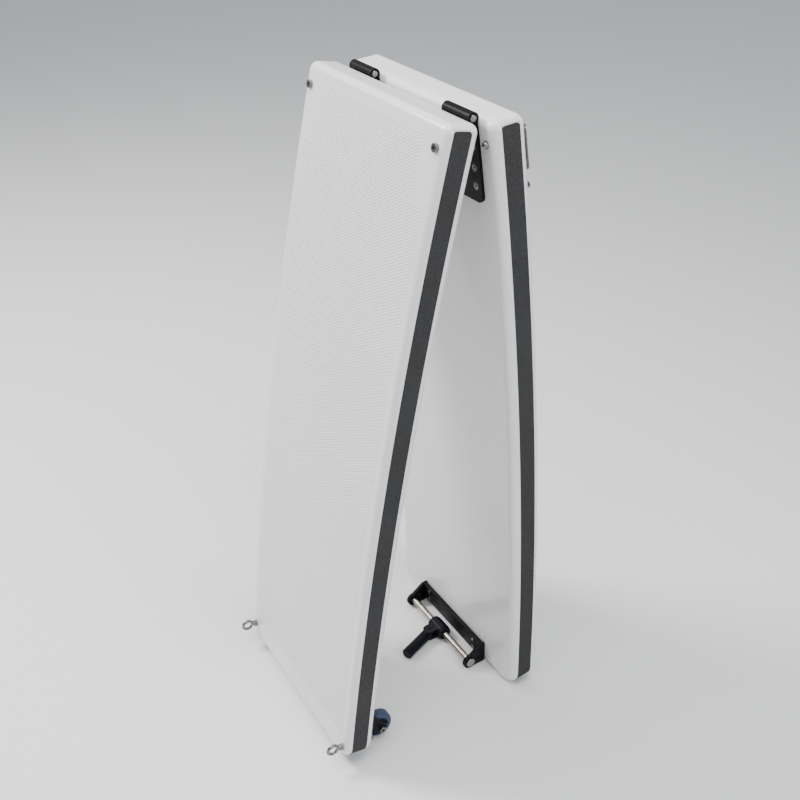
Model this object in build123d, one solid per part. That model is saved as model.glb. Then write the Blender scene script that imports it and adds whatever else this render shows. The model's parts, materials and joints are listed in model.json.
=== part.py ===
from build123d import *
import math
import os

# Folding boarding gangway standing half folded.
# Working frame of each half when laid flat: X across the deck, Y away from the
# fold line, Z along the deck normal. The fold axis is the X axis.

# ---- panels ----
WIDTH = 392.0
END_GAP = 0.6
LENGTH = 1130.0
THICK = 55.0
AXIS_DROP = 7.0
CAMBER = 16.9
CAMBER_MID = 540.0
SKIN = 3.0
EDGE_DECK = 10.5
EDGE_UNDER = 14.0
CORNER_OUT = 34.0
CORNER_FOLD = 14.0
STRIP_LOW = 14.5
STRIP_HIGH = 44.3
STRIP_DEEP = 1.6
STRIP_START = 9.0
SEAM = 30.0
TREAD = 0.8
BOAT_LEAN = 5.66
SHORE_LEAN = 9.69

# ---- fold hinges ----
HINGE_IN = 98.0
HINGE_OUT = 163.0
BARREL_R = 8.8
PIN_R = 5.0
LEAF_T = 4.6
LEAF_END = 128.0
LEAF_START = 12.5
KNUCKLES = (0.0, 0.14, 0.44, 0.70, 1.0)
LEAF_SCREWS = ((14.0, 75.0), (51.0, 75.0), (14.0, 103.0), (51.0, 103.0))
LEAF_SCREW_R = 3.0

# ---- latch hardware ----
STUD_X = 178.6
STUD_Y = 34.5
STUD_HEAD_R = 6.5
STUD_HEAD_H = 4.0
STUD_SHANK_R = 4.0
STOP_X = 184.0
STOP_Y = 108.6
FLAP_Y = 20.0
FLAP_PIN_R = 1.0
FLAP_KNUCKLE_R = 2.0
FLAP_T = 2.4
FLAP_W = 20.0
FLAP_LIFT = 4.5
FLAP_LEN = 60.0
BASE_T = 1.2

# ---- swivel pin bracket ----
ROD_R = 6.3
ROD_Y = 1110.5
ROD_Z = -37.0
ROD_HEAD_R = 9.3
EAR_IN = 101.0
EAR_OUT = 107.0
ROD_END = 110.0
WEB_Y0 = 1080.0
WEB_Y1 = 1119.0
WEB_T = 8.0
WEB_SCREW_X = 80.0
WEB_SCREW_Y = (1087.0, 1106.0)
BOSS_R = 14.5
BUSH_R = 9.5
BUSH_FLANGE_R = 13.5
BUSH_HALF = 20.5
TEE_R = 15.0
TEE_HALF = 16.5
TEE_X = -4.0
TEE_TILT = 4.0
PIVOT_OUT = 26.0
CHEEK_IN = 6.3
CHEEK_OUT = 10.8
CHEEK_R = 11.0
TONGUE_R = 9.0
CROSS_R = 3.0
SPIGOT_R = 11.0
SPIGOT_NECK = 12.5
SPIGOT_END = 74.0
SPIGOT_SIDE = 21.0

# ---- wheels and eye bolts ----
WHEEL_R = 26.0
WHEEL_IN = 138.0
WHEEL_OUT = 160.0
AXLE_Z = -37.0
AXLE_R = 4.0
CHEEK_T = 4.0
FORK_GAP = 1.0
EYE_X = 180.0
EYE_Y = 1102.0
EYE_RING_R = 9.4
EYE_WIRE_R = 2.9
EYE_NECK = 10.5


def rise(y):
    """Height of the camber line above its chord at distance y."""
    return CAMBER * (1 - ((y - CAMBER_MID) / CAMBER_MID) ** 2)


def side_profile(y0, y1, z0, z1):
    """Closed side outline between two camber lines, in the YZ plane."""
    mid = (y0 + y1) / 2
    low = ThreePointArc((0, y0, z0 + rise(y0)), (0, mid, z0 + rise(mid)), (0, y1, z0 + rise(y1)))
    up = Line((0, y1, z0 + rise(y1)), (0, y1, z1 + rise(y1)))
    high = ThreePointArc((0, y1, z1 + rise(y1)), (0, mid, z1 + rise(mid)), (0, y0, z1 + rise(y0)))
    down = Line((0, y0, z1 + rise(y0)), (0, y0, z0 + rise(y0)))
    return Face(Wire([low, up, high, down]))


def band(y0, y1, z0, z1, x0, x1):
    """Cambered slab following the panel's long curve."""
    face = Pos(x0, 0, 0) * side_profile(y0, y1, z0, z1)
    return extrude(face, amount=x1 - x0, dir=(1, 0, 0))


def plan_prism(inset):
    """Upright prism of the panel's plan outline, moved in by inset."""
    half = WIDTH / 2 - inset
    y0 = END_GAP + inset
    y1 = LENGTH - inset
    body = Pos(0, (y0 + y1) / 2, THICK / 2) * Box(2 * half, y1 - y0, 160)
    uprights = body.edges().filter_by(Axis.Z)
    outer = [e for e in uprights if e.center().Y > LENGTH / 2]
    inner = [e for e in uprights if e.center().Y < LENGTH / 2]
    body = fillet(outer, CORNER_OUT - inset)
    inner = [e for e in body.edges().filter_by(Axis.Z)
             if e.center().Y < LENGTH / 4 and abs(abs(e.center().X) - half) < 0.1]
    return fillet(inner, CORNER_FOLD - inset)


def edge_loop(body, level):
    """Edges of the top or bottom face of a cambered block."""
    faces = body.faces().sort_by(Axis.Z)
    face = faces[-1] if level > 0 else faces[0]
    return face.edges()


def panel_block(inset):
    """Cambered panel block with rounded edges, moved in by inset."""
    slab = band(END_GAP - 20, LENGTH + 20, inset, THICK - inset, -WIDTH, WIDTH)
    body = slab & plan_prism(inset)
    body = fillet(edge_loop(body, 1), EDGE_DECK - inset)
    return fillet(edge_loop(body, -1), EDGE_UNDER - inset)


def upright(x, y, z0, z1, radius):
    """Round bar along Z between two heights."""
    return Pos(x, y, (z0 + z1) / 2) * Cylinder(radius, z1 - z0)


def crossbar(x0, x1, y, z, radius):
    """Round bar along X between two stations."""
    return Pos((x0 + x1) / 2, y, z) * Rot(0, 90, 0) * Cylinder(radius, x1 - x0)


def hinge_relief(gap):
    """Round relief in the fold end that clears the hinge barrels."""
    reliefs = []
    for side in (-1, 1):
        x0, x1 = sorted((side * HINGE_IN, side * HINGE_OUT))
        reliefs.append(crossbar(x0 - gap, x1 + gap, 0, -AXIS_DROP, BARREL_R + gap))
    return reliefs


def socket_screw(x, y, z, head_r, head_h, shank_r, length):
    """Socket-head screw standing on height z with its shank going down."""
    head = upright(x, y, z, z + head_h, head_r)
    rim = head.edges().filter_by(GeomType.CIRCLE).sort_by(Axis.Z)[-1]
    head = chamfer(rim, 0.4)
    socket = Pos(x, y, z + head_h) * extrude(RegularPolygon(head_r * 0.5, 6), -head_h * 0.6)
    shank = upright(x, y, z - length, z, shank_r)
    return head + shank - socket


def sunk_screw(x, y, z, shank_r, length):
    """Countersunk socket screw whose head is flush with height z, head upward."""
    head = Pos(x, y, z - shank_r / 2) * Cone(shank_r, 2 * shank_r, shank_r)
    shank = upright(x, y, z - length, z - shank_r, shank_r)
    socket = Pos(x, y, z) * extrude(RegularPolygon(shank_r * 0.62, 6), -shank_r * 0.8)
    return head + shank - socket


def flip(shape, x, y, z):
    """Turn a part upside down about a point."""
    return Pos(x, y, z) * Rot(180, 0, 0) * Pos(-x, -y, -z) * shape


def group(items):
    """Separate solids kept together as one sub-part."""
    return Compound(children=[s for item in items for s in item.solids()])


def leaf_cutters():
    """Screw clearance holes for both leaves, through the skin into the core."""
    cuts = []
    for x, y in leaf_screw_points():
        cuts.append(upright(x, y, -12 + rise(y), 19 + rise(y), LEAF_SCREW_R + 0.05))
    return cuts


def leaf_screw_points():
    """Positions of the eight hinge leaf screws of one half."""
    points = []
    for x0 in (-HINGE_OUT, HINGE_IN):
        points += [(x0 + dx, y) for dx, y in LEAF_SCREWS]
    return points


def drill(shape, cuts):
    """Remove a list of cutters from a shape."""
    for cut in cuts:
        shape = shape - cut
    return shape


def tread_field():
    """Thin raised non-slip field with its corners stepped clear of the studs."""
    wide = Pos(0, 597, THICK) * Box(358, 968, 90)
    narrow = Pos(0, 70, THICK) * Box(290, 100, 90)
    outline = wide + narrow
    uprights = [e for e in outline.edges().filter_by(Axis.Z)]
    outline = fillet(uprights, 5.0)
    layer = band(10, 1100, THICK + 0.02, THICK + TREAD, -200, 200)
    return layer & outline


def half_parts(name, cuts):
    """Skins, core, edge strip and tread field of one half."""
    outer = panel_block(0)
    hollow = panel_block(SKIN)
    core = panel_block(SKIN + 0.2)
    ring = band(STRIP_START, LENGTH + 30, STRIP_LOW, STRIP_HIGH, -WIDTH, WIDTH)
    ring = ring - plan_prism(STRIP_DEEP)
    strip = outer & ring
    shell = drill((outer - hollow) - ring, cuts + hinge_relief(1.0))
    upper = band(-30, LENGTH + 30, SEAM, THICK + 60, -WIDTH, WIDTH)
    relief = hinge_relief(4.2)
    return {
        f"{name}_deck_skin": shell & upper,
        f"{name}_hull_skin": shell - upper,
        f"{name}_foam_core": drill(core, cuts + relief),
        f"{name}_edge_strip": strip,
        f"{name}_tread_field": tread_field(),
    }


def knuckle_spans(owner, x0):
    """X spans of the knuckles owned by one leaf."""
    width = HINGE_OUT - HINGE_IN
    spans = []
    for i in range(len(KNUCKLES) - 1):
        if i % 2 == owner:
            spans.append((x0 + width * KNUCKLES[i] + 0.2, x0 + width * KNUCKLES[i + 1] - 0.2))
    return spans


def hinge_leaf(owner, x0, bore):
    """Leaf plate with its share of the barrel knuckles."""
    plate = band(LEAF_START, LEAF_END, -LEAF_T, -0.05, x0, x0 + HINGE_OUT - HINGE_IN)
    far = [e for e in plate.edges().filter_by(Axis.Z) if e.center().Y > LEAF_END - 1]
    plate = fillet(far, 12.0)
    leaf = plate
    for a, b in knuckle_spans(owner, x0):
        barrel = crossbar(a, b, 0, -AXIS_DROP, BARREL_R)
        neck = Pos((a + b) / 2, LEAF_START / 2 + 0.6, -LEAF_T / 2 - 0.05) * Box(b - a, LEAF_START + 1.4, LEAF_T)
        leaf = leaf + barrel + neck
    leaf = leaf - crossbar(x0 - 1, x0 + 80, 0, -AXIS_DROP, bore)
    for dx, y in LEAF_SCREWS:
        z = rise(y) - LEAF_T
        leaf = leaf - upright(x0 + dx, y, z - 1, rise(y) + 1, LEAF_SCREW_R + 0.15)
        leaf = leaf - Pos(x0 + dx, y, z + 1.6) * Cone(2 * LEAF_SCREW_R + 0.2, LEAF_SCREW_R, 3.4)
    return leaf


def hinge_pin(x0):
    """Hinge pin with slightly domed ends."""
    pin = crossbar(x0 - 0.6, x0 + HINGE_OUT - HINGE_IN + 0.6, 0, -AXIS_DROP, PIN_R)
    return chamfer(pin.edges().filter_by(GeomType.CIRCLE), 0.8)


def leaf_screws():
    """Eight countersunk screws holding the leaves of one half."""
    screws = []
    for x, y in leaf_screw_points():
        z = rise(y) - LEAF_T + 0.1
        screw = sunk_screw(x, y, z, LEAF_SCREW_R, 22.0)
        screws.append(flip(screw, x, y, z))
    return group(screws)


def stud_points():
    """The two through-bolt positions of one half."""
    return [(-STUD_X, STUD_Y), (STUD_X, STUD_Y)]


def deck_z(y):
    """Height of the deck surface."""
    return THICK + rise(y)


def through_cuts():
    """Bolt holes through the panel at the fold end."""
    return [upright(x, y, -40, 90, STUD_SHANK_R + 0.1) for x, y in stud_points()]


def stop_cuts():
    """Blind holes for the two stop studs on the boat half."""
    return [upright(s * STOP_X, STOP_Y, 30, 90, 3.1) for s in (-1, 1)]


def underside_nuts(points):
    """Dome nuts on the underside ends of the through-bolts."""
    nuts = []
    for x, y in points:
        top = rise(y) - 0.45
        body = upright(x, y, top - 2.0, top, 5.6)
        dome = Pos(x, y, top - 2.0) * Sphere(5.0)
        dome = dome & upright(x, y, top - 7.2, top, 6.0)
        nut = body + dome - upright(x, y, top - 2.5, top + 1, STUD_SHANK_R + 0.05)
        nuts.append(nut)
    return group(nuts)


def shore_studs():
    """Through-bolts whose low heads catch the latch flaps."""
    bolts = []
    for x, y in stud_points():
        z = deck_z(y) + 0.5
        bolts.append(socket_screw(x, y, z, STUD_HEAD_R, STUD_HEAD_H, STUD_SHANK_R, THICK + 3.0))
    return group(bolts)


def latch_base(side):
    """Low base plate of a latch flap with two end knuckles."""
    x = side * STUD_X
    z = deck_z(STUD_Y)
    y0, y1 = FLAP_Y - 3.5, STUD_Y + 9.0
    plate = band(y0, y1, THICK + 0.2, THICK + 0.2 + BASE_T, x - FLAP_W / 2, x + FLAP_W / 2)
    ears = []
    for s in (-1, 1):
        ears.append(crossbar(x + s * 8 - 2, x + s * 8 + 2, FLAP_Y, flap_z(), FLAP_KNUCKLE_R))
    base = plate + ears
    base = base - crossbar(x - 5.7, x + 5.7, FLAP_Y, flap_z(), FLAP_KNUCKLE_R + 0.4)
    base = base - Pos(x, FLAP_Y - 4, z) * Box(11.4, 8, 12)
    base = base - crossbar(x - 20, x + 20, FLAP_Y, flap_z(), FLAP_PIN_R + 0.02)
    return base - upright(x, STUD_Y, z - 5, z + 9, STUD_SHANK_R + 0.1)


def flap_z():
    """Height of the latch flap pins above the fold frame datum."""
    return deck_z(FLAP_Y) + FLAP_KNUCKLE_R + 0.4


def boat_bolts():
    """Through-bolts with thin flush heads under the latch flaps."""
    bolts = []
    for x, y in stud_points():
        z = deck_z(y) + 0.2
        shank = upright(x, y, z - THICK - 2.8, z + BASE_T - 0.1, STUD_SHANK_R)
        bolts.append(shank)
    return group(bolts)


def stop_studs():
    """Two short socket-head studs beside the parked latch flaps."""
    studs = []
    for s in (-1, 1):
        z = deck_z(STOP_Y) + 0.4
        studs.append(socket_screw(s * STOP_X, STOP_Y, z, 5.0, 4.5, 3.0, 20.0))
    return group(studs)


def latch_flap(side):
    """Flap plate that turns over the joint and drops on the other half's stud."""
    x = side * STUD_X
    z = flap_z()
    knuckle = crossbar(x - 5.4, x + 5.4, FLAP_Y, z, FLAP_KNUCKLE_R)
    neck = Pos(x, FLAP_Y + 4, z + 0.4) * Box(10.8, 8, FLAP_T)
    plate = Pos(x, FLAP_Y + 5 + FLAP_LEN / 2, z + 0.4) * Box(FLAP_W, FLAP_LEN, FLAP_T)
    ends = [e for e in plate.edges().filter_by(Axis.Z) if e.center().Y > FLAP_Y + 20]
    plate = fillet(ends, 3.0)
    reach = FLAP_Y + STUD_Y
    eye = upright(x, FLAP_Y + reach, z - 6, z + 8, STUD_HEAD_R + 0.5)
    flap = knuckle + neck + plate - eye
    flap = flap - crossbar(x - 20, x + 20, FLAP_Y, z, FLAP_PIN_R + 0.05)
    turn = Pos(0, FLAP_Y, z) * Rot(FLAP_LIFT, 0, 0) * Pos(0, -FLAP_Y, -z)
    return turn * flap


def latch_pins():
    """Small pins of the two latch flaps."""
    pins = [crossbar(s * STUD_X - 10, s * STUD_X + 10, FLAP_Y, flap_z(), FLAP_PIN_R) for s in (-1, 1)]
    return group(pins)


def ear_plate(x0, x1):
    """Bracket ear: rounded boss round the rod running up to the web."""
    zt = rise(WEB_Y0) - 0.1
    zb = rise(ROD_Y + BOSS_R) - 0.1
    boss = crossbar(x0, x1, ROD_Y, ROD_Z, BOSS_R)
    outline = Polyline(
        (x0, WEB_Y0, zt), (x0, ROD_Y + BOSS_R, zb - 1.4), (x0, ROD_Y + BOSS_R, ROD_Z),
        (x0, ROD_Y, ROD_Z - 2), (x0, ROD_Y - BOSS_R + 1, ROD_Z - 2), (x0, WEB_Y0, zt - 12), close=True)
    cheek = extrude(Face(Wire(outline.edges())), amount=x1 - x0, dir=(1, 0, 0))
    return boss + cheek


def swivel_bracket():
    """U-shaped bracket: web plate on the underside and two ears."""
    web = Pos(0, (WEB_Y0 + WEB_Y1) / 2, rise(WEB_Y0) - 2.0 - WEB_T / 2) * Box(2 * EAR_OUT, WEB_Y1 - WEB_Y0, WEB_T)
    bracket = web + ear_plate(-EAR_OUT, -EAR_IN) + ear_plate(EAR_IN, EAR_OUT)
    bracket = bracket - crossbar(-120, 120, ROD_Y, ROD_Z, ROD_R + 0.05)
    for x, y in bracket_screw_points():
        bracket = bracket - upright(x, y, -30, 30, 2.6)
    return bracket - band(900, 1200, -0.05, 60, -200, 200)


def bracket_screw_points():
    """Four screws through the web of the swivel bracket."""
    return [(x, y) for x in (-WEB_SCREW_X, WEB_SCREW_X) for y in WEB_SCREW_Y]


def bracket_screws():
    """Low-head socket screws of the swivel bracket."""
    screws = []
    for x, y in bracket_screw_points():
        z = rise(WEB_Y0) - 2.0 - WEB_T - 0.1
        screw = socket_screw(x, y, z, 4.2, 2.6, 2.5, 26.0)
        screws.append(flip(screw, x, y, z))
    return group(screws)


def swivel_rod():
    """Stainless cross rod with a round head outside each ear."""
    rod = crossbar(-EAR_OUT - 1, EAR_OUT + 1, ROD_Y, ROD_Z, ROD_R)
    for a, b in ((-ROD_END, -EAR_OUT - 0.1), (EAR_OUT + 0.1, ROD_END)):
        head = crossbar(a, b, ROD_Y, ROD_Z, ROD_HEAD_R)
        rod = rod + chamfer(head.edges().filter_by(GeomType.CIRCLE), 0.6)
    return rod


def rod_bush():
    """Plastic bush that slides along the rod, with two end flanges."""
    bush = crossbar(TEE_X - BUSH_HALF, TEE_X + BUSH_HALF, ROD_Y, ROD_Z, BUSH_R)
    for s in (-1, 1):
        a = TEE_X + s * (TEE_HALF + 0.35)
        b = TEE_X + s * BUSH_HALF
        bush = bush + crossbar(min(a, b), max(a, b), ROD_Y, ROD_Z, BUSH_FLANGE_R)
    return bush - crossbar(TEE_X - 30, TEE_X + 30, ROD_Y, ROD_Z, ROD_R + 0.06)


def lengthbar(y0, y1, x, z, radius):
    """Round bar along Y between two stations."""
    return Pos(x, (y0 + y1) / 2, z) * Rot(90, 0, 0) * Cylinder(radius, y1 - y0)


def tilt_tee(shape):
    """Turn the tee group about the cross rod, tip away from the panel end."""
    return Pos(0, ROD_Y, ROD_Z) * Rot(-TEE_TILT, 0, 0) * Pos(0, -ROD_Y, -ROD_Z) * shape


def pivot_z():
    """Height of the spigot's side pivot before the tee group is tilted."""
    return ROD_Z - PIVOT_OUT


def spigot_tee():
    """Tee head turning on the bush, with two cheeks for the spigot's side pivot."""
    head = crossbar(TEE_X - TEE_HALF, TEE_X + TEE_HALF, ROD_Y, ROD_Z, TEE_R)
    head = chamfer(head.edges().filter_by(GeomType.CIRCLE), 1.2)
    tee = head
    for y0, y1 in ((ROD_Y - CHEEK_OUT, ROD_Y - CHEEK_IN), (ROD_Y + CHEEK_IN, ROD_Y + CHEEK_OUT)):
        round_end = lengthbar(y0, y1, TEE_X, pivot_z(), CHEEK_R)
        mid_z = (pivot_z() + ROD_Z - 11) / 2
        arm = Pos(TEE_X, (y0 + y1) / 2, mid_z) * Box(2 * CHEEK_R, y1 - y0, ROD_Z - 11 - pivot_z())
        tee = tee + round_end + arm
    tee = tee - crossbar(TEE_X - 30, TEE_X + 30, ROD_Y, ROD_Z, BUSH_R + 0.06)
    tee = tee - lengthbar(ROD_Y - 20, ROD_Y + 20, TEE_X, pivot_z(), CROSS_R + 0.02)
    return tilt_tee(tee)


def spigot_cross_pin():
    """Cross pin through the cheeks of the tee."""
    pin = lengthbar(ROD_Y - CHEEK_OUT - 0.8, ROD_Y + CHEEK_OUT + 0.8, TEE_X, pivot_z(), CROSS_R)
    return tilt_tee(chamfer(pin.edges().filter_by(GeomType.CIRCLE), 0.5))


def spigot_pin():
    """Round spigot that drops into the boat's deck socket, with a pivot tongue."""
    z = pivot_z()
    pin = upright(TEE_X, ROD_Y, z - SPIGOT_END, z - SPIGOT_NECK, SPIGOT_R)
    pin = chamfer(pin.edges().filter_by(GeomType.CIRCLE).sort_by(Axis.Z)[0], 1.5)
    wide = 2 * (CHEEK_IN - 0.35)
    tongue = lengthbar(ROD_Y - wide / 2, ROD_Y + wide / 2, TEE_X, z, TONGUE_R)
    arm = Pos(TEE_X, ROD_Y, z - (SPIGOT_NECK + 1) / 2) * Box(2 * TONGUE_R, wide, SPIGOT_NECK + 1)
    spigot = pin + tongue + arm - lengthbar(ROD_Y - 20, ROD_Y + 20, TEE_X, z, CROSS_R + 0.06)
    leaned = Pos(TEE_X, 0, z) * Rot(0, -SPIGOT_SIDE, 0) * Pos(-TEE_X, 0, -z) * spigot
    return tilt_tee(leaned)


def eye_bolt(side):
    """Eye bolt: ring, collar and shank into the deck."""
    x = side * EYE_X
    z = deck_z(EYE_Y)
    centre = z + EYE_NECK + EYE_RING_R
    ring = Pos(x, EYE_Y, centre) * Rot(0, 90, 35) * Torus(EYE_RING_R, EYE_WIRE_R)
    collar = upright(x, EYE_Y, z + 0.5, z + 6.4, 6.2)
    collar = chamfer(collar.edges().filter_by(GeomType.CIRCLE).sort_by(Axis.Z)[-1], 0.6)
    neck = Pos(x, EYE_Y, z + 8.2) * Cone(4.8, 3.2, 5.0)
    shank = upright(x, EYE_Y, z - THICK - 1.0, z + 1, 3.0)
    return ring + collar + neck + shank


def eye_nuts():
    """Dome nuts of the eye bolts on the underside."""
    nuts = []
    for s in (-1, 1):
        top = rise(EYE_Y) - 0.6
        body = Pos(s * EYE_X, EYE_Y, top) * extrude(RegularPolygon(5.7, 6), -5.0)
        nuts.append(body - upright(s * EYE_X, EYE_Y, top - 3, top + 1, 3.05))
    return group(nuts)


def eye_cuts():
    """Holes for the eye bolts."""
    return [upright(s * EYE_X, EYE_Y, -40, 90, 3.1) for s in (-1, 1)]


def axle_y(depth):
    """Distance of the axle from the fold axis that sets the tyre on the floor."""
    lean = math.radians(SHORE_LEAN)
    rest = depth - WHEEL_R - (AXLE_Z + AXIS_DROP) * -math.sin(lean)
    return rest / math.cos(lean)


def wheel_fork(side, ay):
    """Fork with a base flange and two rounded cheeks."""
    base_z = rise(ay) - 1.8
    inner = WHEEL_IN - FORK_GAP - CHEEK_T
    outer = WHEEL_OUT + FORK_GAP + CHEEK_T
    mid = (inner + outer) / 2
    fork = Pos(mid, ay - 16, base_z - 2) * Box(outer - inner, 62, 4)
    for a in (inner, outer - CHEEK_T):
        boss = crossbar(a, a + CHEEK_T, ay, AXLE_Z, 11.0)
        cheek = Polyline(
            (a, ay - 40, base_z - 1), (a, ay + 14, base_z - 1), (a, ay + 11, AXLE_Z),
            (a, ay - 5, AXLE_Z - 9), (a, ay - 40, base_z - 8), close=True)
        fork = fork + boss + extrude(Face(Wire(cheek.edges())), amount=CHEEK_T, dir=(1, 0, 0))
    fork = fork - crossbar(inner - 5, outer + 5, ay, AXLE_Z, AXLE_R + 0.05)
    fork = fork - band(900, 1200, -0.05, 60, 100, 200)
    for x, y in fork_screw_points(ay):
        fork = fork - upright(x, y, -20, 20, 2.6)
    return fork if side > 0 else mirror(fork, Plane.YZ)


def fork_screw_points(ay):
    """Two screws of one wheel fork on the +X side."""
    mid = (WHEEL_IN + WHEEL_OUT) / 2
    return [(mid - 6, ay - 38), (mid + 6, ay - 38)]


def fork_screws(ay):
    """Pan-head screws of both wheel forks."""
    screws = []
    for s in (-1, 1):
        for x, y in fork_screw_points(ay):
            z = rise(ay) - 5.9
            screw = socket_screw(s * x, y, z, 4.2, 2.6, 2.5, 24.0)
            screws.append(flip(screw, s * x, y, z))
    return group(screws)


def axle_bolt(side, ay):
    """Axle screw with a socket head on the outside and a nut inside."""
    inner = WHEEL_IN - FORK_GAP - CHEEK_T
    outer = WHEEL_OUT + FORK_GAP + CHEEK_T
    shaft = crossbar(inner - 7, outer + 1, ay, AXLE_Z, AXLE_R)
    head = crossbar(outer + 0.1, outer + 6.5, ay, AXLE_Z, 6.2)
    head = chamfer(head.edges().filter_by(GeomType.CIRCLE).sort_by(Axis.X)[-1], 0.5)
    socket = Pos(outer + 6.5, ay, AXLE_Z) * Rot(0, 90, 0) * extrude(RegularPolygon(3.4, 6), -4)
    nut = Pos(inner - 0.1, ay, AXLE_Z) * Rot(0, 90, 0) * extrude(RegularPolygon(7.0, 6), -5.5)
    bolt = shaft + head + nut - socket
    return bolt if side > 0 else mirror(bolt, Plane.YZ)


def wheel_hub(side, ay):
    """Black hub core of a wheel."""
    hub = crossbar(WHEEL_IN, WHEEL_OUT, ay, AXLE_Z, 9.0)
    web = crossbar(WHEEL_IN + 4, WHEEL_OUT - 4, ay, AXLE_Z, 16.0)
    hub = hub + web - crossbar(WHEEL_IN - 5, WHEEL_OUT + 5, ay, AXLE_Z, AXLE_R + 0.06)
    return hub if side > 0 else mirror(hub, Plane.YZ)


def wheel_tyre(side, ay):
    """Rounded tyre of a wheel."""
    tyre = crossbar(WHEEL_IN + 0.5, WHEEL_OUT - 0.5, ay, AXLE_Z, WHEEL_R)
    tyre = fillet(tyre.edges().filter_by(GeomType.CIRCLE), 5.0)
    tyre = tyre - crossbar(WHEEL_IN, WHEEL_OUT, ay, AXLE_Z, 16.05)
    return tyre if side > 0 else mirror(tyre, Plane.YZ)


def fork_cuts(ay):
    """Holes for the fork screws."""
    return [upright(s * x, y, -20, 20, 2.6) for s in (-1, 1) for x, y in fork_screw_points(ay)]


def bracket_cuts():
    """Holes for the bracket screws."""
    return [upright(x, y, -20, 21, 2.6) for x, y in bracket_screw_points()]


def boat_half():
    """All parts carried by the boat half, in its flat frame."""
    cuts = leaf_cutters() + through_cuts() + stop_cuts() + bracket_cuts()
    parts = half_parts("boat", cuts)
    parts["hinge_near_boat_leaf"] = hinge_leaf(1, HINGE_IN, PIN_R + 0.02)
    parts["hinge_far_boat_leaf"] = hinge_leaf(1, -HINGE_OUT, PIN_R + 0.02)
    parts["hinge_near_pin"] = hinge_pin(HINGE_IN)
    parts["hinge_far_pin"] = hinge_pin(-HINGE_OUT)
    parts["boat_leaf_screws"] = leaf_screws()
    parts["boat_latch_bolts"] = boat_bolts()
    parts["boat_bolt_nuts"] = underside_nuts(stud_points())
    parts["boat_stop_studs"] = stop_studs()
    parts["latch_near_base"] = latch_base(1)
    parts["latch_far_base"] = latch_base(-1)
    parts["latch_pins"] = latch_pins()
    parts["latch_near_flap"] = latch_flap(1)
    parts["latch_far_flap"] = latch_flap(-1)
    parts["swivel_bracket"] = swivel_bracket()
    parts["swivel_rod"] = swivel_rod()
    parts["bracket_screws"] = bracket_screws()
    parts["rod_bush"] = rod_bush()
    parts["spigot_tee"] = spigot_tee()
    parts["spigot_cross_pin"] = spigot_cross_pin()
    parts["spigot_pin"] = spigot_pin()
    return parts


def shore_half(ay):
    """All parts carried by the shore half, in its flat frame."""
    cuts = leaf_cutters() + through_cuts() + eye_cuts() + fork_cuts(ay)
    parts = half_parts("shore", cuts)
    parts["hinge_near_shore_leaf"] = hinge_leaf(0, HINGE_IN, PIN_R + 0.05)
    parts["hinge_far_shore_leaf"] = hinge_leaf(0, -HINGE_OUT, PIN_R + 0.05)
    parts["shore_leaf_screws"] = leaf_screws()
    parts["shore_latch_studs"] = shore_studs()
    parts["shore_stud_nuts"] = underside_nuts(stud_points())
    parts["eye_bolt_near"] = eye_bolt(1)
    parts["eye_bolt_far"] = eye_bolt(-1)
    parts["eye_bolt_nuts"] = eye_nuts()
    parts["wheel_fork_near"] = wheel_fork(1, ay)
    parts["wheel_fork_far"] = wheel_fork(-1, ay)
    parts["fork_screws"] = fork_screws(ay)
    parts["axle_bolt_near"] = axle_bolt(1, ay)
    parts["axle_bolt_far"] = axle_bolt(-1, ay)
    parts["wheel_hub_near"] = wheel_hub(1, ay)
    parts["wheel_hub_far"] = wheel_hub(-1, ay)
    parts["wheel_tyre_near"] = wheel_tyre(1, ay)
    parts["wheel_tyre_far"] = wheel_tyre(-1, ay)
    return parts


def stand_boat(shape):
    """Stand a boat-half part up on its outer end."""
    return Rot(BOAT_LEAN - 90, 0, 0) * Pos(0, 0, AXIS_DROP) * shape


def stand_shore(shape):
    """Mirror a part across the fold line and stand it up."""
    flipped = mirror(Pos(0, 0, AXIS_DROP) * shape, Plane.XZ)
    return Rot(90 - SHORE_LEAN, 0, 0) * flipped


def main():
    """Build, place and write every sub-part."""
    os.makedirs("parts", exist_ok=True)
    placed = {n: stand_boat(s) for n, s in boat_half().items()}
    depth = -placed["boat_hull_skin"].bounding_box().min.Z
    ay = axle_y(depth)
    placed.update({n: stand_shore(s) for n, s in shore_half(ay).items()})
    boxes = [s.bounding_box() for s in placed.values()]
    mid_x = (min(b.min.X for b in boxes) + max(b.max.X for b in boxes)) / 2
    mid_y = (min(b.min.Y for b in boxes) + max(b.max.Y for b in boxes)) / 2
    floor = min(b.min.Z for b in boxes)
    print("hinge axis at", -mid_x, -mid_y, -floor, "axle distance", ay)
    for name, shape in placed.items():
        moved = Pos(-mid_x, -mid_y, -floor) * shape
        export_step(moved, os.path.join("parts", name + ".step"))


main()
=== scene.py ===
import json
import math

import bpy
from mathutils import Matrix, Vector


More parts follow.
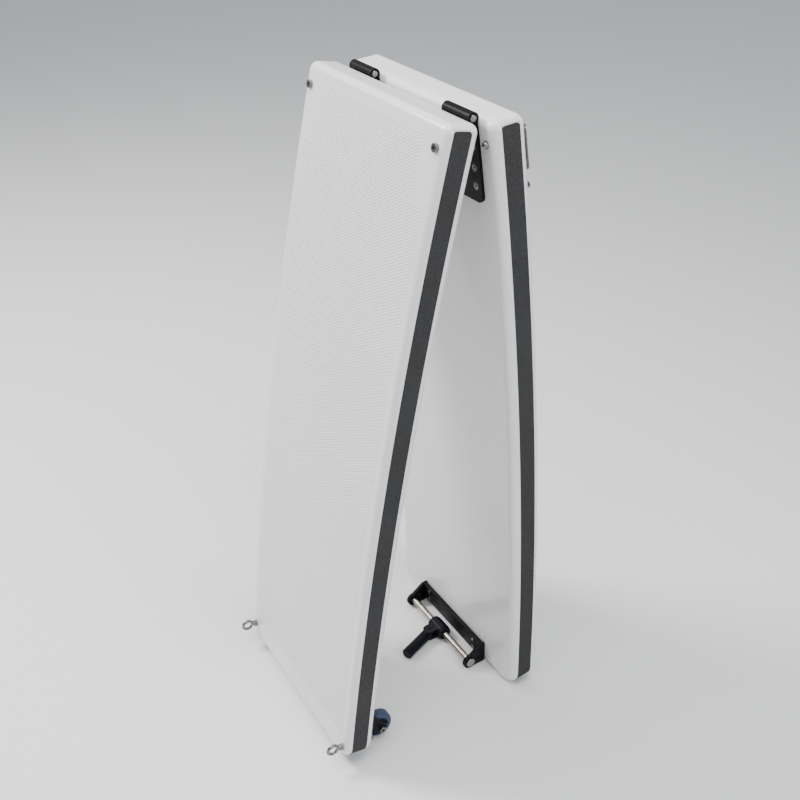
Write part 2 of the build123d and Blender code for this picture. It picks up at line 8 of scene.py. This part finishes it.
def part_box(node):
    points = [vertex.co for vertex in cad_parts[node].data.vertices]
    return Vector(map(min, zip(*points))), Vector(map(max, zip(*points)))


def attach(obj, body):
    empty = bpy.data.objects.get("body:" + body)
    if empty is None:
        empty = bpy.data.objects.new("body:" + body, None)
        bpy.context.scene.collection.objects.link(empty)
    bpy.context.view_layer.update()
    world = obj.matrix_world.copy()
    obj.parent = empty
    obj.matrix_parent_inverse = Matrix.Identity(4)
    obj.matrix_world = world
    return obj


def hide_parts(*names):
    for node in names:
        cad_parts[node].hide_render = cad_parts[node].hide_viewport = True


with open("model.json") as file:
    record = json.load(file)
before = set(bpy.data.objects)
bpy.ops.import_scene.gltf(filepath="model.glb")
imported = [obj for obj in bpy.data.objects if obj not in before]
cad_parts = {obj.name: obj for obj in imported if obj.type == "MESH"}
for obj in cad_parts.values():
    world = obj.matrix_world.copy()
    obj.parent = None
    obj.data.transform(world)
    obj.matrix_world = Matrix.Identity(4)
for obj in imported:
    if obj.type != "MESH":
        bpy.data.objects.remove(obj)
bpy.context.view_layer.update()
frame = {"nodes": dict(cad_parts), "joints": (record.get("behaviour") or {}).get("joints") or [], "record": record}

# ---- driving dimensions of a half, in metres, in its flat frame ----
MM = 0.001
WIDTH = 392 * MM
END_GAP = 0.6 * MM
LENGTH = 1130 * MM
THICK = 55 * MM
AXIS_DROP = 7 * MM
CAMBER = 16.9 * MM
CAMBER_MID = 540 * MM
EDGE_DECK = 10.5 * MM
EDGE_UNDER = 14.0 * MM
CORNER_OUT = 34 * MM
CORNER_FOLD = 14 * MM
STRIP_LOW = 14.5 * MM
STRIP_HIGH = 44.3 * MM
STRIP_START = 9 * MM
STRIP_DEEP = 1.5 * MM
STRIP_END_R = 6 * MM
STRIP_SOFT = 0.45 * MM
STRIP_SKIN = 0.02 * MM
STRIP_ROOT = 1.55 * MM
BOAT_LEAN = math.radians(5.66)
SHORE_LEAN = math.radians(9.69)
SIDE_SPANS = 96
FOLD_CORNER_STEPS = 10
OUTER_CORNER_STEPS = 12
LEAST_CORNER = 0.5 * MM
FLAT_RIM = 1.5 * MM
SKIN_SPLIT_LOW = 29.98 * MM
SKIN_SPLIT_HIGH = 30.02 * MM

# ---- tread relief ----
TREAD_ROW = 5.0 * MM
TREAD_ANGLE = math.radians(30)
TREAD_HIGH = 0.75 * MM
TREAD_HALF_WIDE = 179 * MM
TREAD_HALF_NARROW = 145 * MM
TREAD_STEP = 116 * MM
TREAD_NEAR = 21 * MM
TREAD_FAR = 1080 * MM
DIAMOND_REACH = 0.40
DIAMOND_TOP = 0.66
DIAMOND_FOOT = 0.03 * MM
BORDER_CORNER = 6 * MM
BORDER_CORNER_STEPS = 6
BORDER_SPAN = 12 * MM
# (distance across, height) of the bead round the tread, in mm
BORDER_BEAD = ((-2.4, 0.02), (-1.2, 0.22), (0.0, 0.30), (1.2, 0.22), (2.4, 0.02))

# ---- wheels ----
TYRE_SEAT = 16 * MM
TYRE_CROWN = 5.5 * MM
# (depth in from the hub's face, radius) from the bore to the tyre seat, in mm
HUB_PROFILE = ((0, 4.1), (0, 8.4), (0.6, 9.0), (3.5, 9.4),
               (4.2, 10.5), (4.0, 14.2), (2.6, 15.2), (2.4, 16.0))

joints = {j["name"]: j for j in frame["joints"]}
fold_axis = Vector(joints["fold"]["pos_m"])


def rise(y):
    """Height of the camber line above its chord."""
    return CAMBER * (1 - ((y - CAMBER_MID) / CAMBER_MID) ** 2)


def stand(half):
    """Matrix from a half's flat frame to the row frame."""
    drop = Matrix.Translation((0, 0, AXIS_DROP))
    if half == "boat":
        turn = Matrix.Rotation(BOAT_LEAN - math.pi / 2, 4, "X")
    else:
        mirror = Matrix.Scale(-1, 4, (0, 1, 0))
        turn = Matrix.Rotation(math.pi / 2 - SHORE_LEAN, 4, "X") @ mirror
    return Matrix.Translation(fold_axis) @ turn @ drop


# ---------------------------------------------------------------- materials
class Nodes:
    """Small helper that wires one procedural material."""

    def __init__(self, name):
        self.mat = bpy.data.materials.new(name)
        self.mat.use_nodes = True
        self.tree = self.mat.node_tree
        self.shader = self.tree.nodes["Principled BSDF"]
        self.coord = self.add("ShaderNodeTexCoord").outputs["Object"]

    def add(self, kind, links=None, **settings):
        node = self.tree.nodes.new(kind)
        for key, value in settings.items():
            setattr(node, key, value)
        for socket, value in (links or {}).items():
            self.put(node.inputs[socket], value)
        return node

    def put(self, socket, value):
        if isinstance(value, bpy.types.NodeSocket):
            self.tree.links.new(value, socket)
        else:
            socket.default_value = value

    def set(self, **values):
        names = {"color": "Base Color", "rough": "Roughness", "metal": "Metallic",
                 "normal": "Normal", "coat": "Coat Weight", "coat_rough": "Coat Roughness",
                 "spec": "Specular IOR Level"}
        for key, value in values.items():
            self.put(self.shader.inputs[names[key]], value)

    def scaled(self, x, y, z):
        links = {"Vector": self.coord, "Scale": (x, y, z)}
        return self.add("ShaderNodeMapping", links).outputs[0]

    def noise(self, scale, detail=3.0, rough=0.5, vector=None):
        links = {"Vector": vector or self.coord, "Scale": scale,
                 "Detail": detail, "Roughness": rough}
        return self.add("ShaderNodeTexNoise", links).outputs["Fac"]

    def cells(self, scale):
        links = {"Vector": self.coord, "Scale": scale}
        return self.add("ShaderNodeTexVoronoi", links).outputs["Distance"]

    def span(self, value, low, high, to_low, to_high):
        links = {"Value": value, "From Min": low, "From Max": high,
                 "To Min": to_low, "To Max": to_high}
        return self.add("ShaderNodeMapRange", links).outputs[0]

    def mix(self, factor, a, b):
        """Blend of two colours; sockets 6 and 7 are the Mix node's colour inputs."""
        node = self.add("ShaderNodeMix", data_type="RGBA")
        self.put(node.inputs[0], factor)
        self.put(node.inputs[6], a)
        self.put(node.inputs[7], b)
        return node.outputs[2]

    def bump(self, height, strength, distance, normal=None):
        links = {"Height": height, "Strength": strength, "Distance": distance}
        if normal is not None:
            links["Normal"] = normal
        return self.add("ShaderNodeBump", links).outputs[0]

    def bevel(self, radius):
        return self.add("ShaderNodeBevel", {"Radius": radius}, samples=6).outputs[0]

    def edges(self, radius):
        """0 on flats, rising towards 1 on worn corners."""
        flat = self.add("ShaderNodeNewGeometry").outputs["True Normal"]
        soft = self.bevel(radius)
        dot = self.add("ShaderNodeVectorMath", {0: flat, 1: soft}, operation="DOT_PRODUCT")
        return self.span(dot.outputs["Value"], 0.995, 0.80, 0.0, 1.0)


def grey(value, warm=0.0):
    return (value * (1 + warm), value, value * (1 - warm), 1.0)


def gelcoat(name, rough_low, rough_high, tone):
    """Polished gelcoat with faint waviness, wash marks and fine scuffs."""
    n = Nodes(name)
    cloud = n.noise(5.0, 4.0)
    scuff = n.noise(60.0, 6.0, 0.7, n.scaled(1.0, 1.0, 0.15))
    clouded = n.span(cloud, 0.35, 0.7, 0.0, 1.0)
    n.set(color=n.mix(clouded, grey(tone, 0.003), grey(tone * 0.965, 0.01)))
    wet = n.span(cloud, 0.3, 0.7, rough_low, rough_high)
    worn = n.span(scuff, 0.56, 0.72, 0.0, 0.10)
    n.set(rough=n.add("ShaderNodeMath", {0: wet, 1: worn}, operation="ADD").outputs[0])
    wave = n.bump(n.noise(22.0, 1.0), 0.05, 0.004)
    n.set(normal=n.bump(n.noise(420.0, 2.0), 0.03, 0.0005, wave))
    n.set(coat=0.35, coat_rough=0.06, spec=0.5)
    return n.mat


def grained_strip():
    """Dark grey gritty edge tape."""
    n = Nodes("edge_strip_grey")
    grit = n.noise(950.0, 4.0, 0.8)
    fleck = n.cells(900.0)
    gritty = n.span(grit, 0.38, 0.62, 0.0, 1.0)
    base = n.mix(gritty, (0.006, 0.006, 0.007, 1), (0.078, 0.077, 0.080, 1))
    dust = n.span(n.noise(9.0, 5.0), 0.45, 0.75, 0.0, 0.35)
    n.set(color=n.mix(dust, base, (0.055, 0.055, 0.057, 1)))
    n.set(rough=n.span(fleck, 0.0, 0.6, 0.62, 0.88))
    n.set(normal=n.bump(fleck, 0.5, 0.0005, n.bump(grit, 0.5, 0.0006)), spec=0.12)
    return n.mat


def black_metal():
    """Hard anodised plate with edges rubbed slightly bare."""
    n = Nodes("black_anodised")
    wear = n.edges(0.0009)
    patch = n.span(n.noise(160.0, 5.0, 0.65), 0.45, 0.70, 0.0, 1.0)
    rub = n.add("ShaderNodeMath", {0: wear, 1: patch}, operation="MULTIPLY").outputs[0]
    n.set(color=n.mix(rub, (0.006, 0.006, 0.007, 1), (0.12, 0.118, 0.115, 1)), spec=0.08)
    n.set(rough=n.span(n.noise(35.0, 4.0), 0.3, 0.7, 0.30, 0.46))
    n.set(normal=n.bump(n.noise(900.0, 2.0), 0.12, 0.0003, n.bevel(0.0007)))
    return n.mat


def stainless(name, tone, warm, low, high, grain):
    """Turned or drawn stainless with fine machining lines."""
    n = Nodes(name)
    lines = n.noise(1.0, 3.0, 0.6, n.scaled(*grain))
    stain = n.noise(70.0, 4.0)
    stained = n.span(stain, 0.4, 0.75, 0.0, 1.0)
    n.set(color=n.mix(stained, grey(tone, warm), grey(tone * 0.72, warm * 1.6)))
    n.set(metal=1.0, rough=n.span(lines, 0.3, 0.7, low, high))
    n.set(normal=n.bump(lines, 0.10, 0.0003, n.bevel(0.0005)))
    return n.mat


def acetal():
    """Machined black plastic with faint tool lines and rubbed edges."""
    n = Nodes("black_acetal")
    tool = n.noise(1.0, 2.0, 0.5, n.scaled(2400, 2400, 300))
    rub = n.edges(0.0011)
    n.set(color=n.mix(rub, (0.005, 0.005, 0.009, 1), (0.030, 0.030, 0.042, 1)), spec=0.10)
    n.set(rough=n.span(tool, 0.3, 0.7, 0.32, 0.48))
    n.set(normal=n.bump(tool, 0.08, 0.0003, n.bevel(0.0008)))
    return n.mat


def blue_tyre():
    """Blue elastic tyre, dusty and scuffed on the tread."""
    n = Nodes("blue_tyre")
    dust = n.span(n.noise(140.0, 6.0, 0.65), 0.42, 0.72, 0.0, 0.55)
    n.set(color=n.mix(dust, (0.016, 0.034, 0.088, 1), (0.060, 0.080, 0.120, 1)))
    n.set(rough=n.span(dust, 0.0, 0.55, 0.42, 0.72))
    n.set(normal=n.bump(n.noise(520.0, 4.0), 0.25, 0.0005))
    return n.mat


def foam():
    """Closed-cell foam."""
    n = Nodes("foam")
    cell = n.cells(700.0)
    n.set(color=n.mix(cell, (0.62, 0.55, 0.38, 1), (0.76, 0.70, 0.52, 1)), rough=0.9)
    n.set(normal=n.bump(cell, 0.4, 0.0006))
    return n.mat


materials = {
    "gelcoat_white": gelcoat("gelcoat_white", rough_low=0.16, rough_high=0.26, tone=0.80),
    "tread_gelcoat": gelcoat("tread_gelcoat", rough_low=0.34, rough_high=0.46, tone=0.79),
    "edge_strip_grey": grained_strip(),
    "black_anodised": black_metal(),
    "stainless": stainless("stainless", tone=0.24, warm=0.05, low=0.12, high=0.28,
                           grain=(900, 900, 2600)),
    "rod_steel": stainless("rod_steel", tone=0.34, warm=0.08, low=0.24, high=0.38,
                           grain=(3200, 160, 160)),
    "black_acetal": acetal(),
    "blue_tyre": blue_tyre(),
    "foam": foam(),
}

for part in frame["record"]["subparts"]:
    node = frame["nodes"][part["node"]]
    node.data.materials.clear()
    node.data.materials.append(materials[part["material_slot"]])


# ---------------------------------------------------------------- mesh helpers
def new_piece(name, verts, faces, slot, body, replaced=(), place=None, smooth=True):
    """Make a mesh piece, place it, give it its material and let it ride."""
    mesh = bpy.data.meshes.new(name)
    mesh.from_pydata([tuple(v) for v in verts], [], faces)
    if place is not None:
        mesh.transform(place)
        if place.determinant() < 0:
            mesh.flip_normals()
    mesh.validate()
    mesh.update()
    for poly in mesh.polygons:
        poly.use_smooth = smooth
    mesh.materials.append(materials[slot])
    obj = bpy.data.objects.new(name, mesh)
    bpy.context.scene.collection.objects.link(obj)
    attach(obj, body)
    if replaced:
        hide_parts(*replaced)
    return obj


def stations():
    """Distances along a half where its side walls carry points."""
    low = END_GAP + CORNER_FOLD
    high = LENGTH - CORNER_OUT
    return [low + (high - low) * i / SIDE_SPANS for i in range(SIDE_SPANS + 1)]


def plan_side(inset):
    """Right-hand half of the plan outline, from the fold end to the outer end."""
    half = WIDTH / 2 - inset
    points = []
    near = max(CORNER_FOLD - inset, LEAST_CORNER)
    far = max(CORNER_OUT - inset, LEAST_CORNER)
    for i in range(FOLD_CORNER_STEPS + 1):
        a = -math.pi / 2 + math.pi / 2 * i / FOLD_CORNER_STEPS
        y = END_GAP + inset + near + near * math.sin(a)
        points.append((half - near + near * math.cos(a), y))
    points += [(half, y) for y in stations()[1:-1]]
    for i in range(OUTER_CORNER_STEPS + 1):
        a = math.pi / 2 * i / OUTER_CORNER_STEPS
        y = LENGTH - inset - far + far * math.sin(a)
        points.append((half - far + far * math.cos(a), y))
    return points


def recess(y, t):
    """Depth of the side wall behind the edge strip."""
    behind = y > STRIP_START + 1 * MM and STRIP_LOW < t < STRIP_HIGH
    return STRIP_DEEP if behind else 0.0


def shell_rings(levels):
    """Closed rings of points for a list of (inset, height) levels."""
    rings = []
    for inset, t in levels:
        side = plan_side(inset)
        right = [(x - recess(y, t), y, t + rise(y)) for x, y in side]
        left = [(-x + recess(y, t), y, t + rise(y)) for x, y in reversed(side)]
        rings.append(right + left)
    return rings


def shell_mesh(levels, cap_first):
    """Quads between rings, and a cambered cap over the first or the last ring."""
    rings = shell_rings(levels)
    count = len(rings[0])
    verts = [p for ring in rings for p in ring]
    faces = []
    for r in range(len(rings) - 1):
        for i in range(count):
            j = (i + 1) % count
            this, above = r * count, (r + 1) * count
            faces.append((this + i, this + j, above + j, above + i))
    base = 0 if cap_first else (len(rings) - 1) * count
    half = count // 2
    for i in range(half - 1):
        quad = (base + i, base + i + 1, base + count - 2 - i, base + count - 1 - i)
        faces.append(tuple(reversed(quad)) if cap_first else quad)
    return verts, faces


def rounding(radius, high, steps=9):
    """(inset, height) levels round an edge; high tells deck edge from under edge."""
    levels = []
    for i in range(steps):
        a = math.pi / 2 * i / (steps - 1)
        inset = radius * (1 - math.cos(a))
        lift = radius * math.sin(a)
        levels.append((inset, THICK - radius + lift if high else radius - lift))
    return levels


def crisp(obj):
    """Keep the large flats even while the edges stay round."""
    mod = obj.modifiers.new("weights", "WEIGHTED_NORMAL")
    mod.keep_sharp = True
    mod.weight = 100
    return obj


# ---------------------------------------------------------------- panels
def build_shell(half):
    """Moulded hull and deck skins, meeting behind the edge strip."""
    place = stand(half)
    body = half + "_half"
    lip = 0.05 * MM
    wall_low = [(0, STRIP_LOW - lip), (0, STRIP_LOW + lip), (0, SKIN_SPLIT_LOW)]
    wall_high = [(0, SKIN_SPLIT_HIGH), (0, STRIP_HIGH - lip), (0, STRIP_HIGH + lip)]
    under = list(reversed(rounding(EDGE_UNDER, False)))
    under = [(EDGE_UNDER + FLAT_RIM, 0.0)] + under
    deck = rounding(EDGE_DECK, True) + [(EDGE_DECK + FLAT_RIM, THICK)]
    verts, faces = shell_mesh(under + wall_low, True)
    crisp(new_piece(half + "_hull_shell", verts, faces, "gelcoat_white", body,
                    [half + "_hull_skin"], place))
    verts, faces = shell_mesh(wall_high + deck, False)
    crisp(new_piece(half + "_deck_shell", verts, faces, "gelcoat_white", body,
                    [half + "_deck_skin"], place))


def strip_path():
    """Plan path of the edge strip with the distance to its nearer end."""
    side = [p for p in plan_side(0) if p[1] >= STRIP_START]
    past_end = STRIP_START + STRIP_END_R + 0.5 * MM
    path = [(WIDTH / 2, STRIP_START)] + [p for p in side if p[1] > past_end]
    turns = [math.pi / 2 * i / 8 for i in range(1, 9)]
    lead = [(WIDTH / 2, STRIP_START + STRIP_END_R * (1 - math.cos(a))) for a in turns]
    path = path[:1] + lead + path[1:]
    full = path + [(-x, y) for x, y in reversed(path)]
    away = [0.0]
    for a, b in zip(full, full[1:]):
        away.append(away[-1] + math.dist(a, b))
    return full, [min(d, away[-1] - d) for d in away]


def build_strip(half):
    """Edge strip: flat tape with softened edges and rounded ends."""
    path, away = strip_path()
    mid = (STRIP_LOW + STRIP_HIGH) / 2
    tall = (STRIP_HIGH - STRIP_LOW) / 2
    profile_depths = (STRIP_ROOT, STRIP_SOFT, STRIP_SKIN, STRIP_SKIN, STRIP_SOFT, STRIP_ROOT)
    verts = []
    for k, (x, y) in enumerate(path):
        before = Vector(path[max(k - 1, 0)])
        after = Vector(path[min(k + 1, len(path) - 1)])
        run = (after - before).normalized()
        out = Vector((run.y, -run.x))
        d = min(away[k], STRIP_END_R)
        drop = math.sqrt(max(STRIP_END_R ** 2 - (STRIP_END_R - d) ** 2, 0))
        h = tall - STRIP_END_R + drop
        heights = (-h, -h, -h + STRIP_SOFT, h - STRIP_SOFT, h, h)
        for t, depth in zip(heights, profile_depths):
            verts.append((x - out.x * depth, y - out.y * depth, mid + t + rise(y)))
    rows = len(profile_depths)
    faces = []
    for k in range(len(path) - 1):
        for i in range(rows - 1):
            a = k * rows + i
            faces.append((a, a + rows, a + rows + 1, a + 1))
    last = (len(path) - 1) * rows
    faces.append(tuple(range(rows)))
    faces.append(tuple(reversed(range(last, last + rows))))
    strip = new_piece(half + "_edge_tape", verts, faces, "edge_strip_grey", half + "_half",
                      [half + "_edge_strip"], stand(half))
    crisp(strip)


def in_tread(x, y):
    """Whether a diamond's centre lies on the non-slip field."""
    margin = 2.5 * MM
    if y < TREAD_NEAR + margin or y > TREAD_FAR - margin:
        return False
    wide = TREAD_HALF_WIDE if y > TREAD_STEP else TREAD_HALF_NARROW
    return abs(x) < wide - margin


def build_tread(half):
    """Field of small raised diamonds moulded into the deck."""
    pitch = TREAD_ROW / math.tan(TREAD_ANGLE)
    verts = []
    faces = []
    rows = int(TREAD_FAR / (TREAD_ROW / 2)) + 2
    columns = int(TREAD_HALF_WIDE / pitch) + 2
    foot = THICK + DIAMOND_FOOT
    for r in range(rows):
        y = r * TREAD_ROW / 2
        shift = (r % 2) * pitch / 2
        for c in range(-columns, columns + 1):
            x = c * pitch + shift
            if not in_tread(x, y):
                continue
            base = len(verts)
            for grow, z in ((DIAMOND_REACH, 0.0), (DIAMOND_REACH * DIAMOND_TOP, TREAD_HIGH)):
                for dx, dy in ((1, 0), (0, 1), (-1, 0), (0, -1)):
                    py = y + dy * grow * TREAD_ROW
                    verts.append((x + dx * grow * pitch, py, foot + z + rise(py)))
            for i in range(4):
                j = (i + 1) % 4
                faces.append((base + i, base + j, base + 4 + j, base + 4 + i))
            faces.append((base + 4, base + 5, base + 6, base + 7))
    new_piece(half + "_tread_relief", verts, faces, "tread_gelcoat", half + "_half",
              [half + "_tread_field"], stand(half), smooth=False)


def border_path():
    """Rounded outline of the non-slip field, stepped in beside the studs."""
    wide, narrow = TREAD_HALF_WIDE, TREAD_HALF_NARROW
    low, step, high = TREAD_NEAR, TREAD_STEP, TREAD_FAR
    turns = [(narrow, low, 1), (narrow, step, -1), (wide, step, 1), (wide, high, 1)]
    radius = BORDER_CORNER
    half_path = []
    starts = {0: -90, 1: 180, 2: -90, 3: 0}
    for k, (x, y, sign) in enumerate(turns):
        cx = x - radius if sign > 0 else x + radius
        cy = y + radius if k in (0, 2) else y - radius
        sweep = 90 if sign > 0 else -90
        for i in range(BORDER_CORNER_STEPS + 1):
            a = math.radians(starts[k] + sweep * i / BORDER_CORNER_STEPS)
            half_path.append((cx + radius * math.cos(a), cy + radius * math.sin(a)))
    dense = [half_path[0]]
    for a, b in zip(half_path, half_path[1:]):
        cuts = max(1, int(math.dist(a, b) / BORDER_SPAN))
        for i in range(1, cuts + 1):
            dense.append((a[0] + (b[0] - a[0]) * i / cuts, a[1] + (b[1] - a[1]) * i / cuts))
    return dense + [(-x, y) for x, y in reversed(dense)]


def build_border(half):
    """Low moulded bead round the non-slip field."""
    path = border_path()
    count = len(path)
    bead = [(side * MM, lift * MM) for side, lift in BORDER_BEAD]
    wide = len(bead)
    verts = []
    faces = []
    for k in range(count):
        run = (Vector(path[(k + 1) % count]) - Vector(path[k - 1])).normalized()
        for side, lift in bead:
            y = path[k][1] - run.x * side
            verts.append((path[k][0] + run.y * side, y, THICK + lift + rise(y)))
    for k in range(count):
        nxt = (k + 1) % count
        for i in range(wide - 1):
            here, there = k * wide + i, nxt * wide + i
            faces.append((here, here + 1, there + 1, there))
    new_piece(half + "_tread_border", verts, faces, "gelcoat_white", half + "_half",
              (), stand(half))


for half in ("boat", "shore"):
    build_shell(half)
    build_border(half)
    build_strip(half)
    build_tread(half)


# ---------------------------------------------------------------- wheels
def lathe(name, profile, centre, slot, body, replaced, steps=72):
    """Turn an (x, radius) profile about an axis parallel to X."""
    verts = []
    faces = []
    count = len(profile)
    for k in range(steps):
        a = 2 * math.pi * k / steps
        for x, r in profile:
            verts.append((centre.x + x, centre.y + r * math.cos(a), centre.z + r * math.sin(a)))
    for k in range(steps):
        nxt = (k + 1) % steps
        for i in range(count - 1):
            here, there = k * count + i, nxt * count + i
            faces.append((here, here + 1, there + 1, there))
    piece = new_piece(name, verts, faces, slot, body, replaced)
    split = piece.modifiers.new("split", "EDGE_SPLIT")
    split.split_angle = math.radians(38)
    return piece


def arc(cx, cr, radius, start, end, steps=6):
    """Profile points on an arc, angles in degrees."""
    turn = [math.radians(start + (end - start) * i / steps) for i in range(steps + 1)]
    return [(cx + radius * math.cos(a), cr + radius * math.sin(a)) for a in turn]


def build_wheel(end):
    """Tyre with a crowned tread and moulding ring, and a stepped hub."""
    low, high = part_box("wheel_tyre_" + end)
    centre = (low + high) / 2
    radius = (high.z - low.z) / 2
    half = (high.x - low.x) / 2
    body = "wheel_" + end
    core = TYRE_SEAT
    crown = TYRE_CROWN
    tyre = [(-half + 1.2 * MM, core), (-half + 0.3 * MM, core + 1.0 * MM),
            (-half, core + 2.2 * MM)]
    tyre += [(-half + 0.3 * MM, radius - crown - 0.6 * MM)]
    tyre += arc(-half + crown, radius - crown, crown, 180, 95)
    tyre += [(-0.3 * MM, radius), (0.0, radius - 0.03 * MM), (0.3 * MM, radius)]
    tyre += arc(half - crown, radius - crown, crown, 85, 0)
    tyre += [(half - 0.3 * MM, radius - crown - 0.6 * MM), (half, core + 2.2 * MM)]
    tyre += [(half - 0.3 * MM, core + 1.0 * MM), (half - 1.2 * MM, core)]
    lathe("tyre_" + end, tyre, centre, "blue_tyre", body, ["wheel_tyre_" + end])
    low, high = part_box("wheel_hub_" + end)
    wide = (high.x - low.x) / 2
    hub = [(-wide + depth * MM, r * MM) for depth, r in HUB_PROFILE]
    hub += [(-x, r) for x, r in reversed(hub)]
    lathe("hub_" + end, hub, centre, "black_acetal", body, ["wheel_hub_" + end])


for end in ("near", "far"):
    build_wheel(end)


# ---------------------------------------------------------------- stage, light, camera
def plain(name, tone, rough):
    """Almost even matt grey."""
    n = Nodes(name)
    n.set(color=n.mix(n.noise(1.2, 2.0), grey(tone), grey(tone * 0.985)), rough=rough, spec=0.2)
    return n.mat


def stage_floor(name, half_size, tone, rough):
    """Plain floor under the object."""
    h = half_size
    mesh = bpy.data.meshes.new(name)
    mesh.from_pydata([(-h, -h, 0), (h, -h, 0), (h, h, 0), (-h, h, 0)], [], [(0, 1, 2, 3)])
    mesh.materials.append(plain(name, tone, rough))
    obj = bpy.data.objects.new(name, mesh)
    bpy.context.scene.collection.objects.link(obj)


AZIMUTH = math.radians(58.68)
PITCH = math.radians(32.12)
ROLL = math.radians(0.08)
FOCAL = 46.96
SENSOR = 36.0
CAMERA = fold_axis + Vector((1288.5, -800.2, 422.1)) * MM

toward = Vector((-math.sin(AZIMUTH), math.cos(AZIMUTH), 0))
across = Vector((math.cos(AZIMUTH), math.sin(AZIMUTH), 0))
stage_floor("floor", half_size=14.0, tone=0.86, rough=0.5)


def area(name, place, target, size, power, color=(1, 1, 1)):
    """Rectangular light at place, in metres, facing target; power in watts."""
    light = bpy.data.lights.new(name, "AREA")
    light.shape = "RECTANGLE"
    light.size, light.size_y = size
    light.energy = power
    light.color = color
    obj = bpy.data.objects.new(name, light)
    obj.location = place
    obj.rotation_euler = (Vector(target) - Vector(place)).to_track_quat("-Z", "Y").to_euler()
    bpy.context.scene.collection.objects.link(obj)


area("key", place=(-1.8, -1.5, 2.7), target=(0, 0, 0.5), size=(0.9, 0.9),
     power=120, color=(1.0, 0.988, 0.965))
area("fill", place=toward * -2.0 + across * 2.0 + Vector((0, 0, 1.9)),
     target=(0, 0, 0.4), size=(1.0, 1.8), power=34, color=(0.96, 0.98, 1.0))
area("top", place=toward * -0.5 + Vector((0, 0, 3.0)), target=(0, 0, 0),
     size=(2.0, 2.0), power=70)

world = bpy.data.worlds.new("studio")
world.use_nodes = True
background = world.node_tree.nodes["Background"]
background.inputs["Color"].default_value = (0.92, 0.96, 1.0, 1)
background.inputs["Strength"].default_value = 0.55
bpy.context.scene.world = world

camera = bpy.data.objects.new("camera", bpy.data.cameras.new("camera"))
camera.data.lens = FOCAL
camera.data.sensor_width = SENSOR
forward = toward * math.cos(PITCH) + Vector((0, 0, -math.sin(PITCH)))
up = across.cross(forward)
basis = Matrix((across, up, -forward)).transposed().to_4x4()
camera.matrix_world = Matrix.Translation(CAMERA) @ basis @ Matrix.Rotation(-ROLL, 4, "Z")
bpy.context.scene.collection.objects.link(camera)
bpy.context.scene.camera = camera
